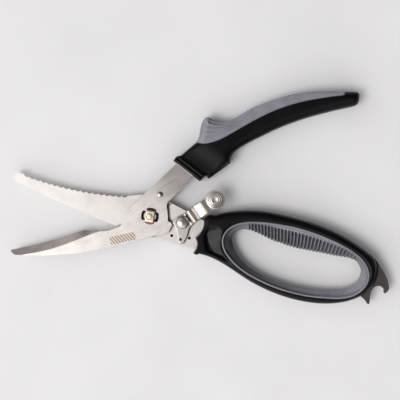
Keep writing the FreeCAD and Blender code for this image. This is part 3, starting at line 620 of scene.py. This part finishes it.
def inner_points(loops, spacing, reach, fine=None):
    """Rows that follow the outline through its rounding, then an even field of points.

    fine says which points of the plan lie where a closer field is wanted.
    """
    outline = segments_of(loops)
    chosen = []
    for angle in ROW_ANGLES:
        depth = reach * (1.0 - math.cos(math.radians(angle)))
        if depth < 0.05:
            continue
        for loop in loops:
            ahead = np.roll(loop, -1, 0) - np.roll(loop, 1, 0)
            ahead /= np.linalg.norm(ahead, axis=1)[:, None]
            moved = loop + depth * np.stack([-ahead[:, 1], ahead[:, 0]], 1)
            drift = np.abs(distance_to(moved, outline) - depth)
            chosen.append(moved[drift < max(0.04 * depth, 0.015)])
    grid = field(loops, spacing)
    if fine is not None:
        close = field(loops, spacing * 0.45)
        grid = np.concatenate([grid[~fine(grid)], close[fine(close)]])
    grid = grid[inside(grid, loops)]
    chosen.append(grid[distance_to(grid, outline) > reach + 0.4 * spacing])
    return np.concatenate(chosen)


def field(loops, spacing):
    """A triangular grid of points over the box of the loops."""
    low = np.concatenate(loops).min(0)
    high = np.concatenate(loops).max(0)
    rows = []
    for number, y in enumerate(np.arange(low[1], high[1], spacing * 0.866)):
        xs = np.arange(low[0] + (number % 2) * spacing / 2.0, high[0], spacing)
        rows.append(np.stack([xs, np.full(len(xs), y)], 1))
    return np.concatenate(rows)


def triangulate(loops, extra):
    """Points and triangles that fill the loops and use the extra points."""
    coordinates = [Vector(pair) for loop in loops for pair in loop]
    edges = []
    first = 0
    for loop in loops:
        count = len(loop)
        edges += [(first + i, first + (i + 1) % count) for i in range(count)]
        first += count
    coordinates += [Vector(pair) for pair in extra]
    made = delaunay_2d_cdt(coordinates, edges, [], 0, 1e-6)
    points = np.array([tuple(pair) for pair in made[0]])
    faces = np.array([tuple(face) for face in made[2]])
    faces = faces[inside(points[faces].mean(1), loops)]
    turn = points[faces]
    area = np.cross(turn[:, 1] - turn[:, 0], turn[:, 2] - turn[:, 0])
    faces[area < 0] = faces[area < 0][:, ::-1]
    return points, faces[np.abs(area) > 1e-7]


def rim_edges(faces):
    """Edges of only one triangle, in the direction that this triangle runs."""
    directed = {}
    for a, b, c in faces:
        for edge in ((a, b), (b, c), (c, a)):
            directed[edge] = True
    return [edge for edge in directed if (edge[1], edge[0]) not in directed]


def add_mesh(name, vertices, faces, material, sharp=38.0):
    mesh = bpy.data.meshes.new(name)
    mesh.from_pydata([tuple(v) for v in vertices], [], [tuple(int(i) for i in f) for f in faces])
    mesh.validate()
    mesh.shade_smooth()
    mesh.set_sharp_from_angle(angle=math.radians(sharp))
    piece = bpy.data.objects.new(name, mesh)
    bpy.context.scene.collection.objects.link(piece)
    mesh.materials.append(material)
    return piece


def add_closed(name, loops, surfaces, material, spacing, reach, sharp=38.0, fine=None):
    """A closed body between two surfaces over the same plan.

    surfaces turns points of the plan into points, in mm, of the upper and lower surface.
    """
    points, faces = triangulate(loops, inner_points(loops, spacing, reach, fine))
    top, bottom = surfaces(points)
    count = len(points)
    skin = [tuple(face) for face in faces]
    skin += [tuple(count + face[::-1]) for face in faces]
    skin += [(a, count + a, count + b, b) for a, b in rim_edges(faces)]
    return add_mesh(name, np.concatenate([top, bottom]) * MM, skin, material, sharp)


def add_moulding(name, loops, height, material, spacing, reach, nudge=None, fine=None):
    """A closed moulding, alike above and below the middle plane.

    height gives half the thickness at points of the plan, and nudge may move those points.
    """

    def surfaces(points):
        half = height(points)
        if nudge is not None:
            points = nudge(points)
        return np.column_stack([points, MIDDLE + half]), np.column_stack([points, MIDDLE - half])

    return add_closed(name, loops, surfaces, material, spacing, reach, fine=fine)


def rounding(depth, reach, low, high):
    """A quarter ellipse from low at the edge to high where the depth passes the reach."""
    share = np.clip(depth / reach, 0.0, 1.0)
    return low + (high - low) * np.sqrt(1.0 - (1.0 - share) ** 2)


SLICE = MIDDLE + 4.4


# ---------------------------------------------------------------- straight handle


STRAIGHT_AXIS = np.array([math.cos(math.radians(52.1)), math.sin(math.radians(52.1))])
STRAIGHT_COLLAR = 38.4
BLOCK_ACROSS = np.array([0.583, -0.8125])
BLOCK_ALONG = np.array([0.8125, 0.583])
BLOCK_DEPTH = 1.2
TAIL_START = 133.0
TAIL_ROUNDING = 1.7
WAIST_DEPTH = 1.15
COLLAR_GROOVE = 0.4
SHELL_SEAM = 0.45
FLUTE_COUNT = 4.0
FLUTE_DEPTH = 0.95


def make_straight_handle(black, grey):
    """The black moulding and its grey inlay, which share one surface and part at a seam."""
    shell = resample(slice_node("straight_handle_shell", SLICE)[0], 0.7)
    tail = [corner for corner in corners_of(shell) if corner[0] > PIVOT[0] + TAIL_START]
    shell = [round_corners(shell, tail, TAIL_ROUNDING)]
    grip = [resample(slice_node("straight_handle_grip", SLICE)[0], 0.55)]
    outer_shell = stretches(shell, grip, shared=False)
    outer_grip = stretches(grip, shell, shared=False)
    outer = tuple(np.concatenate(pair) for pair in zip(outer_shell, outer_grip))
    border = stretches(grip, shell, shared=True)
    back = top_stretch(outer_grip)

    def body_height(points):
        """A sharp-edged collar with a groove, a shallow waist, then a fully rounded handle."""
        place = points - PIVOT
        past = place @ STRAIGHT_AXIS - STRAIGHT_COLLAR
        away = distance_to(points, outer)
        grown = smooth_step(past, 6.0, 26.0)
        reach = 1.0 + 5.0 * grown
        low = 5.6 - 3.0 * grown
        waist = WAIST_DEPTH * smooth_step(past, 3.0, 6.5) * (1.0 - smooth_step(past, 9.0, 24.0))
        groove = COLLAR_GROOVE * np.exp(-(((past - 3.0) / 0.7) ** 2))
        high = HALF - waist - groove
        return rounding(away, reach, low, high)

    def shell_height(points):
        """The body, lower on the stop block and its front step, and at the seam."""
        place = points - PIVOT
        half = body_height(points)
        below = place @ BLOCK_ACROSS
        behind = place @ BLOCK_ALONG
        block = smooth_step(below, 0.7, 1.6) * (1.0 - smooth_step(behind, 63.0, 66.0))
        front = (1.0 - smooth_step(behind, 47.0, 47.9)) * smooth_step(below, -1.9, -1.0)
        half = half - BLOCK_DEPTH * np.maximum(block, front) * smooth_step(behind, 45.4, 46.0)
        seam = distance_to(points, border)
        return half - SHELL_SEAM * (1.0 - smooth_step(seam, 0.05, 0.5))

    def grip_height(points):
        """The body with long flutes between the seam and the back, deepest at the horn."""
        place = points - PIVOT
        seam = distance_to(points, border)
        crest = distance_to(points, back)
        share = seam / (seam + crest + 1e-6)
        fade = 0.5 + 0.5 * (1.0 - smooth_step(place[:, 0], 50.0, 70.0))
        fade = fade * smooth_step(place[:, 0] - 0.12 * place[:, 1], 28.6, 33.0)
        fade = fade * (1.0 - 0.8 * smooth_step(place[:, 0], 95.0, 120.0))
        phase = np.clip((share - 0.2) / 0.74, 0.0, 1.0)
        flute = (0.5 - 0.5 * np.cos(2.0 * math.pi * FLUTE_COUNT * phase)) ** 0.8
        room = smooth_step(seam, 0.3, 1.2) * smooth_step(distance_to(points, outer), 0.2, 1.4)
        half = body_height(points) + 0.25 * smooth_step(seam, 0.2, 1.0)
        half = half - FLUTE_DEPTH * flute * fade * room
        return np.minimum(half - 0.5 * (1.0 - smooth_step(seam, 0.05, 0.4)), HALF)

    def at_collar(points):
        place = points - PIVOT
        return (place @ STRAIGHT_AXIS < STRAIGHT_COLLAR + 6.0) | (place @ BLOCK_ACROSS > -2.5)

    piece = add_moulding(
        "straight_handle_body", shell, shell_height, black, spacing=0.75, reach=1.0, fine=at_collar
    )
    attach(piece, "straight_half")
    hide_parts("straight_handle_shell")
    piece = add_moulding("straight_handle_inlay", grip, grip_height, grey, spacing=0.32, reach=0.9)
    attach(piece, "straight_half")
    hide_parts("straight_handle_grip")


def top_stretch(segments):
    """The back of the straight handle, from the peak of the horn to the far end."""
    starts, ends = segments
    peak = starts[starts[:, 0] < starts[:, 0].min() + 15.0]
    peak_x = peak[np.argmax(peak[:, 1])][0]
    back = starts[:, 0] > peak_x - 0.5
    return starts[back], ends[back]


# ---------------------------------------------------------------- loop handle

FACET_SLOPE = 0.21
FACET_DEPTH = 2.4
RIB_PITCH = 2.16
RIB_DEPTH = 2.3
RIB_SCALLOP = 0.8
FUNNEL_EDGE = 0.9
FUNNEL_DROP = 1.6
LINER_LEAST = 0.3


def make_loop_handle(black, grey):
    """The black moulding round the finger opening, and the grey liner set in it."""
    shell = slice_node("loop_handle_shell", SLICE)[:2]
    liner = slice_node("loop_grip_liner", MIDDLE)[:2]
    shell = [resample(loop, 0.7) for loop in shell]
    liner = [resample(loop, 0.38) for loop in liner]
    outer = segments_of(shell[:1])
    rim = segments_of(liner[:1])
    opening = segments_of(liner[1:])

    def shell_height(points):
        """Rounded behind the collar, with a sloping facet beside it and a seam at the liner."""
        place = points - PIVOT
        away = distance_to(points, outer)
        seam = distance_to(points, rim)
        grown = smooth_step(place[:, 0], 33.0, 52.0)
        reach = 1.3 + 3.2 * grown
        half = rounding(away, reach, 5.2 - 2.6 * grown, HALF)
        facet = FACET_SLOPE * ((47.0 - place[:, 0]) * 0.86 + (-9.0 - place[:, 1]) * 0.5)
        facet = np.clip(facet, 0.0, FACET_DEPTH)
        facet = facet * smooth_step(place[:, 0] + 0.12 * place[:, 1], 33.6, 36.0)
        facet = facet * smooth_step(-place[:, 1], 5.5, 9.5) * smooth_step(away, 1.8, 4.2)
        half = half - facet * smooth_step(seam, 0.2, 0.8)
        return half - 0.5 * (1.0 - smooth_step(seam, 0.1, 0.8))

    def rib_share(points):
        """Depth of the valleys between the ribs, and the way from opening to rim, both 0 to 1."""
        place = points - PIVOT
        seam = distance_to(points, rim)
        inner = distance_to(points, opening)
        share = inner / (inner + seam + 1e-6)
        slope = -0.42 * (place[:, 0] - 100.0) - 26.0
        upper = smooth_step(place[:, 1] - slope, -1.0, 2.0)
        span = smooth_step(place[:, 0], 64.0, 67.0) * (1.0 - smooth_step(place[:, 0], 136.5, 138.5))
        zone = (1.0 - smooth_step(share, 0.68, 0.8)) * upper * span
        lean = 0.15 - 0.5 * np.clip((place[:, 0] - 70.0) / 65.0, 0.0, 1.0)
        slanted = place[:, 0] + lean * (place[:, 1] - slope - 6.0)
        wave = (0.5 - 0.5 * np.cos(2.0 * math.pi * slanted / RIB_PITCH)) ** 1.1
        return zone * wave, share

    def liner_height(points):
        """A funnel that rises from the opening to a bead along the rim, with ribs on its upper side."""
        valley, share = rib_share(points)
        seam = distance_to(points, rim)
        wide = smooth_step(seam + distance_to(points, opening), 6.5, 9.0)
        slope = wide * (1.0 - (1.0 - share) ** 2.0) + (1.0 - wide) * share
        half = FUNNEL_EDGE + (HALF - FUNNEL_DROP - FUNNEL_EDGE) * slope
        bead = np.sqrt(np.clip(1.0 - ((seam - 1.0) / 1.0) ** 2, 0.0, 1.0))
        half = half + (HALF - 0.15 - half) * bead * smooth_step(seam, -0.2, 0.5)
        return np.clip(half - RIB_DEPTH * valley, LINER_LEAST, HALF)

    def liner_nudge(points):
        """The valleys also bite into the edge of the opening."""
        valley, share = rib_share(points)
        moved = points.copy()
        moved[:, 1] += RIB_SCALLOP * valley * (1.0 - smooth_step(share, 0.0, 0.35))
        return moved

    piece = add_moulding("loop_handle_body", shell, shell_height, black, spacing=0.8, reach=4.2)
    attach(piece, "loop_half")
    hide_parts("loop_handle_shell")
    piece = add_moulding(
        "loop_liner_body", liner, liner_height, grey, spacing=0.42, reach=1.2, nudge=liner_nudge
    )
    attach(piece, "loop_half")
    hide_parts("loop_grip_liner")


# ---------------------------------------------------------------- locking lever

RIVET = np.array(JOINTS["lock_lever_pivot"]["pos_m"][:2]) / MM
LEVER_TURN = math.radians(34.7)
LEVER_ALONG = np.array([math.cos(LEVER_TURN), math.sin(LEVER_TURN)])
LEVER_HALF = 0.75

# Distance from the rivet along the lever and height of the middle of the sheet:
# first as the frame's lever is bent, where it is sliced, then as the finished piece is bent.
LEVER_BENDS = [
    (-30.0, 9.7),
    (4.9, 9.7),
    (6.9, 13.3),
    (8.2, 13.9),
    (10.0, 14.3),
    (12.0, 18.0),
    (14.4, 18.8),
    (17.0, 18.5),
    (19.8, 18.05),
    (40.0, 18.05),
]
LEVER_SHAPE = [
    (-30.0, 9.7),
    (4.4, 9.7),
    (5.05, 10.0),
    (6.75, 13.9),
    (10.3, 13.1),
    (11.9, 17.5),
    (14.2, 18.0),
    (17.4, 18.3),
    (20.0, 17.85),
    (40.0, 17.85),
]
PAD_REACH = 25.9
PIP_REACH = 11.4
PIP_ANGLE = math.radians(-97.0)
DIMPLE_RADIUS = 0.9
DIMPLE_DEPTH = 1.35
BUTTON_RADIUS = 5.6
BUTTON_RISE = 0.88
HOLLOW_DEPTH = 0.35
RING_PITCH = 1.15
RING_HEIGHT = 0.07
PIP_FINE = 1.6
PAD_FINE = 5.9
LEVER_ROUNDING = 0.3


def bent_profile(bends):
    """Distance along the lever, height and slope of its middle surface, bends eased."""
    reach = np.arange(-28.0, 38.0, 0.05)
    stations, heights = zip(*bends)
    sharp = np.interp(reach, stations, heights)
    window = np.exp(-((np.arange(-40, 41) * 0.05 / 0.55) ** 2))
    eased = np.convolve(np.pad(sharp, 40, "edge"), window / window.sum(), "valid")
    return reach, eased, np.gradient(eased, reach)


def make_lever(material):
    """A bent sheet with a domed, ringed thumb pad and the dimple of its detent pip."""
    reach, cut, _ = bent_profile(LEVER_BENDS)
    reach, eased, slope = bent_profile(LEVER_SHAPE)

    def cut_level(points):
        return np.interp((points - RIVET) @ LEVER_ALONG, reach, cut)

    loops = [resample(loop, 0.35) for loop in slice_node("lock_lever", cut_level)[:2]]
    edge = segments_of(loops)
    pip = RIVET + PIP_REACH * np.array([math.cos(PIP_ANGLE), math.sin(PIP_ANGLE)])
    pad = RIVET + PAD_REACH * LEVER_ALONG

    def near_details(points):
        to_pip = np.linalg.norm(points - pip, axis=1)
        return (to_pip < PIP_FINE) | (np.linalg.norm(points - pad, axis=1) < PAD_FINE)

    def surfaces(points):
        along = (points - RIVET) @ LEVER_ALONG
        lean = np.arctan(np.interp(along, reach, slope))
        half = rounding(distance_to(points, edge), 0.32, LEVER_HALF - LEVER_ROUNDING, LEVER_HALF)
        from_pad = np.linalg.norm(points - pad, axis=1)
        button = BUTTON_RISE * np.clip(1.0 - (from_pad / BUTTON_RADIUS) ** 2, 0.0, 1.0)
        ringed = smooth_step(from_pad, 2.2, 3.0) * (1.0 - smooth_step(from_pad, 5.0, 5.5))
        rings = RING_HEIGHT * np.cos(2.0 * math.pi * from_pad / RING_PITCH) * ringed
        hollow = HOLLOW_DEPTH * (1.0 - smooth_step(from_pad, 0.4, 2.5))
        from_pip = np.linalg.norm(points - pip, axis=1)
        dimple = DIMPLE_DEPTH * np.sqrt(np.clip(1.0 - (from_pip / DIMPLE_RADIUS) ** 2, 0.0, 1.0))
        shift = np.sin(lean)[:, None] * LEVER_ALONG
        rise = np.cos(lean)
        middle = np.interp(along, reach, eased)
        top = np.column_stack([points - half[:, None] * shift, middle + half * rise])
        bottom = np.column_stack([points + half[:, None] * shift, middle - half * rise])
        top[:, 2] += button + (rings - hollow) - dimple
        return top, bottom

    piece = add_closed(
        "lock_lever_sheet", loops, surfaces, material, spacing=0.32, reach=0.3, sharp=50.0, fine=near_details
    )
    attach(piece, "lock_lever")
    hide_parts("lock_lever")


# ---------------------------------------------------------------- metal parts


def add_turned(name, axis, profile, material, count=96):
    """A lathe-turned piece: profile holds radius and height, from the lower to the upper pole."""
    vertices = [(axis[0], axis[1], profile[0][1])]
    for radius, height in profile[1:-1]:
        for step in range(count):
            angle = 2.0 * math.pi * step / count
            x = axis[0] + radius * math.cos(angle)
            vertices.append((x, axis[1] + radius * math.sin(angle), height))
    vertices.append((axis[0], axis[1], profile[-1][1]))
    faces = []
    rings = len(profile) - 2
    for step in range(count):
        after = (step + 1) % count
        faces.append((0, 1 + after, 1 + step))
        for ring in range(rings - 1):
            low = 1 + ring * count
            high = low + count
            faces.append((low + step, low + after, high + after, high + step))
        last = 1 + (rings - 1) * count
        faces.append((last + step, last + after, len(vertices) - 1))
    return add_mesh(name, np.array(vertices) * MM, faces, material, 35.0)


def dome(radius, seat, rise, start=0.35, steps=10):
    """Half of a domed head from its lower rim to the pole."""
    rows = [(radius - 0.12, seat), (radius, seat + 0.12), (radius, seat + start)]
    for step in range(1, steps):
        angle = math.pi / 2.0 * step / steps
        height = seat + start + (rise - start) * math.sin(angle)
        rows.append((radius * math.cos(angle), height))
    return rows + [(0.0, seat + rise)]


def top_of(name):
    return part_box(name)[1][2] / MM


def bottom_of(name):
    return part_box(name)[0][2] / MM


def middle_of(name):
    low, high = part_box(name)
    return np.array([low[0] + high[0], low[1] + high[1]]) / 2.0 / MM


STUD_SHANK = 3.0
STUD_JOURNAL = 4.24
STUD_END = 2.2
RIVET_SHANK = 2.5
RIVET_HEAD = 4.0
PIN_SHANK = 1.5
PIN_HEAD = 2.0


def make_heads(steel, cream):
    """The stud, from its peened rear end to the boss in the keeper bar, then rivet and stop pin."""
    washer_low, washer_high = bottom_of("pivot_washer"), top_of("pivot_washer")
    rear = bottom_of("pivot_stud")
    keeper_low, keeper_high = bottom_of("keeper_plate"), top_of("keeper_plate")
    stud = [(0.0, rear), (1.4, rear + 0.04), (2.8, rear + 0.3), (4.0, rear + 0.85), (4.6, washer_low)]
    stud += [(STUD_SHANK, washer_low), (STUD_SHANK, washer_high + 1.1)]
    stud += [(STUD_JOURNAL, washer_high + 1.1), (STUD_JOURNAL, keeper_low - 0.4), (4.0, keeper_low)]
    stud += [(STUD_END, keeper_low), (STUD_END, keeper_high - 0.25)]
    stud += [(1.75, keeper_high - 0.25), (1.65, keeper_high + 0.02), (1.2, keeper_high + 0.1)]
    stud += [(0.0, keeper_high + 0.14)]
    piece = add_turned("pivot_stud_turned", PIVOT, stud, cream)
    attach(piece, "loop_half")
    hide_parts("pivot_stud")

    rear, seat = bottom_of("lever_rivet"), top_of("lever_washer")
    under = bottom_of("serrated_blade")
    rivet = [(0.0, rear), (1.5, rear + 0.1), (2.8, rear + 0.5), (3.5, under)]
    rivet += [(RIVET_SHANK, under), (RIVET_SHANK, seat)]
    rivet += dome(RIVET_HEAD, seat, top_of("lever_rivet") - seat)
    piece = add_turned("lever_rivet_turned", RIVET, rivet, steel)
    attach(piece, "loop_half")
    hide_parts("lever_rivet")

    low, seat = bottom_of("stop_pin"), top_of("cutting_blade")
    pin = [(0.0, low), (PIN_SHANK - 0.2, low), (PIN_SHANK, low + 0.2), (PIN_SHANK, seat)]
    pin += dome(PIN_HEAD, seat, top_of("stop_pin") - seat, 0.2)
    piece = add_turned("stop_pin_turned", middle_of("stop_pin"), pin, steel)
    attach(piece, "straight_half")
    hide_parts("stop_pin")


KEEPER_TURN = math.radians(81.0)
KEEPER_ALONG = np.array([math.cos(KEEPER_TURN), math.sin(KEEPER_TURN)])
KEEPER_BORE = 2.25
KEEPER_FLAT = 2.8
KEEPER_BEND = 2.65
KEEPER_DROP = 1.35
KEEPER_LEAST = 0.25


def make_keeper(material):
    """The bar over the keyhole: flat across the middle, with ends that curve down."""
    low, high = bottom_of("keeper_plate"), top_of("keeper_plate")
    loops = [resample(loop, 0.25) for loop in slice_node("keeper_plate", (low + high) / 2.0)[:1]]
    bore = []
    for step in range(48):
        angle = -2.0 * math.pi * step / 48
        bore.append(PIVOT + KEEPER_BORE * np.array([math.cos(angle), math.sin(angle)]))
    loops.append(np.array(bore))
    edge = segments_of(loops[:1])

    def surfaces(points):
        reach = np.abs((points - PIVOT) @ KEEPER_ALONG)
        top = rounding(distance_to(points, edge), 0.5, high - 0.5, high)
        top = top - KEEPER_DROP * np.clip((reach - KEEPER_FLAT) / KEEPER_BEND, 0.0, 1.0) ** 2
        top = np.maximum(top, low + KEEPER_LEAST)
        return np.column_stack([points, top]), np.column_stack([points, np.full(len(points), low)])

    piece = add_closed("keeper_bar", loops, surfaces, material, spacing=0.25, reach=0.5)
    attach(piece, "loop_half")
    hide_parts("keeper_plate")


# Painted shade and light on the front blade's tang: stops of distance in mm along the straight handle from
# the pivot, and tone; darkest beside the collar.
TANG_PAINTED_SHADING = [(-60.0, 0.86), (-25.0, 0.98), (0.0, 1.1), (9.0, 1.02), (26.0, 0.66), (40.0, 0.6)]
BAND_CENTRE = PIVOT + np.array([-18.0, -14.6])
BAND_TURN = 13.0
BAND_HALF_LENGTH = 8.6
BAND_HALF_WIDTH = 2.7
BAND_PITCH = 1.9
HATCHED_BAND = (BAND_CENTRE, BAND_TURN, BAND_HALF_LENGTH, BAND_HALF_WIDTH, BAND_PITCH)
HAIRLINE_BEVEL = 0.14


def finish_metal():
    """Materials for the metal nodes, and the finished pieces that replace some of them."""
    front = brushed_steel(
        "front_blade_steel",
        light=(0.60, 0.565, 0.545),
        dark=(0.47, 0.437, 0.418),
        roughness=0.36,
        turn=35.0,
        shade=(STRAIGHT_AXIS, PIVOT, TANG_PAINTED_SHADING),
        ground=(1.45, 1.37, 1.36),
        etched=HATCHED_BAND,
    )
    back = brushed_steel(
        "back_blade_steel",
        light=(0.61, 0.585, 0.57),
        dark=(0.51, 0.488, 0.475),
        roughness=0.44,
        turn=-20.0,
        streak=0.6,
        seam=(3.0, 0.02, (0.46, 0.72)),
    )
    lever = brushed_steel(
        "lever_steel",
        light=(0.53, 0.495, 0.475),
        dark=(0.42, 0.385, 0.365),
        roughness=0.36,
        turn=35.0,
        streak=0.4,
        seam=(1.5, 0.12),
        # Painted shade on the lever's faces that look towards +x and -y.
        painted_side_shading=(0.6, -0.75, 0.3),
    )
    heads = polished_steel("fastener_steel", (0.58, 0.555, 0.53), (0.4, 0.375, 0.35), 0.17)
    # The keeper bar's ends get a painted dull-brown reflection.
    keeper = polished_steel("keeper_steel", (0.8, 0.72, 0.62), (0.62, 0.51, 0.4), 0.3, (*KEEPER_ALONG, 0.0))
    wire = polished_steel("spring_steel", (0.55, 0.55, 0.56), (0.4, 0.4, 0.41), 0.25)
    claw = brushed_steel(
        "dark_steel",
        light=(0.125, 0.113, 0.11),
        dark=(0.075, 0.068, 0.066),
        roughness=0.38,
        turn=-60.0,
        streak=0.8,
    )
    looks = {
        "cutting_blade": front,
        "serrated_blade": back,
        "bottle_opener": claw,
        "pivot_washer": heads,
        "lever_washer": heads,
        "lever_spring_washer": wire,
        "torsion_spring": wire,
    }
    for name, material in looks.items():
        paint(frame["nodes"][name], material)
    for name in ("cutting_blade", "serrated_blade", "bottle_opener"):
        soften_edges(frame["nodes"][name], HAIRLINE_BEVEL)
    make_lever(lever)
    make_heads(heads, keeper)
    make_keeper(keeper)


# ---------------------------------------------------------------- the scene


def add_floor():
    mesh = bpy.data.meshes.new("floor")
    far = 3.0
    corners = [(-far, -far, 0.0), (far, -far, 0.0), (far, far, 0.0), (-far, far, 0.0)]
    mesh.from_pydata(corners, [], [(0, 1, 2, 3)])
    floor = bpy.data.objects.new("floor", mesh)
    bpy.context.scene.collection.objects.link(floor)
    mesh.materials.append(floor_paper())


bpy.context.scene.view_settings.view_transform = "Standard"
add_camera()
add_lights()
add_floor()
black_plastic = moulded_plastic("black_plastic", (0.0018, 0.0021, 0.0027), (0.003, 0.0034, 0.0041), 0.3)
grey_grip = soft_grip("grey_grip", (0.25, 0.246, 0.278), (0.2, 0.196, 0.224))
make_straight_handle(black_plastic, grey_grip)
make_loop_handle(black_plastic, grey_grip)
finish_metal()
